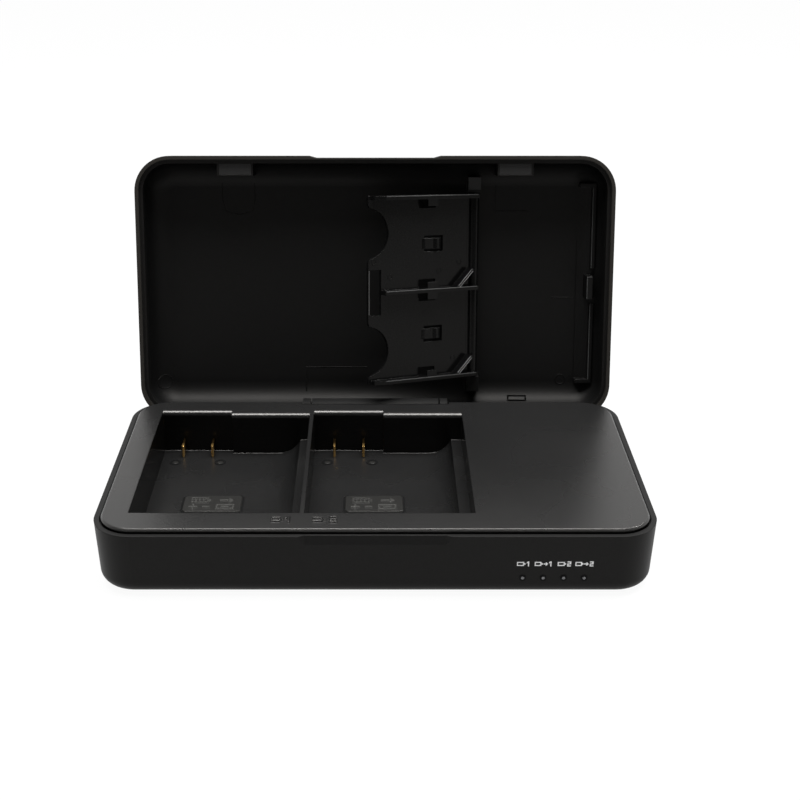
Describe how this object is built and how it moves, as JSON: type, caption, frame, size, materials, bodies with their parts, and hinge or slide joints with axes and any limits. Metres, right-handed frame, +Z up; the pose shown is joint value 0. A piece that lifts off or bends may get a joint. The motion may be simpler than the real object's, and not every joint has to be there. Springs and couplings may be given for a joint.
{
  "type": "camera battery charger",
  "caption": "Clamshell charger for camera batteries: a low base with stepped battery bays and gold contacts, and a hollow hinged lid that holds a swing-out memory card tray.",
  "frame": {"origin": "on the table, under the middle of the base's footprint", "axes": "+X to the charger's right, +Y to the rear where the hinge is, +Z up"},
  "size_m": [0.142, 0.1129, 0.0869],
  "materials": {
    "case_plastic": "fine-textured satin",
    "tray_plastic": "semi-gloss",
    "contact_gold": "polished",
    "guide_clear": "clear",
    "magnet_coating": "plated",
    "steel": "bright",
    "board_laminate": "solder mask",
    "led_body": "moulded",
    "chip_body": "moulded",
    "coil_body": "pressed ferrite",
    "capacitor_can": "satin",
    "resistor_body": "ceramic",
    "inlet_body": "moulded",
    "foot_rubber": "matte"
  },
  "bodies": {
    "base": {"base_magnet_left": "magnet_coating", "base_magnet_right": "magnet_coating", "base_shell": "case_plastic", "bay_1_contact_left": "contact_gold", "bay_1_contact_right": "contact_gold", "bay_2_contact_left": "contact_gold", "bay_2_contact_right": "contact_gold", "case_screws": "steel", "charge_chip": "chip_body", "contact_board": "board_laminate", "deck": "case_plastic", "discharge_resistor_1": "resistor_body", "discharge_resistor_2": "resistor_body", "filter_capacitor_1": "capacitor_can", "filter_capacitor_2": "capacitor_can", "hinge_pin": "steel", "light_guide_1": "guide_clear", "light_guide_2": "guide_clear", "light_guide_3": "guide_clear", "light_guide_4": "guide_clear", "main_board": "board_laminate", "power_coil_1": "coil_body", "power_coil_2": "coil_body", "power_inlet": "inlet_body", "rubber_foot_1": "foot_rubber", "rubber_foot_2": "foot_rubber", "rubber_foot_3": "foot_rubber", "rubber_foot_4": "foot_rubber", "status_led_1": "led_body", "status_led_2": "led_body", "status_led_3": "led_body", "status_led_4": "led_body"},
    "lid": {"lid_shell": "case_plastic", "lid_magnet_left": "magnet_coating", "lid_magnet_right": "magnet_coating"},
    "tray": {"card_tray": "tray_plastic"}
  },
  "joints": [
    {"name": "lid_hinge", "type": "hinge", "parent": "base", "child": "lid", "pos_m": [0, 0.03837, 0.01267], "axis": [1, 0, 0], "range_deg": [0, 103.7]},
    {"name": "tray_hinge", "type": "hinge", "parent": "lid", "child": "tray", "pos_m": [0.0298, 0.06089, 0.04667], "axis": [0, 0.2368, 0.9715], "range_deg": [0, 146]}
  ]
}
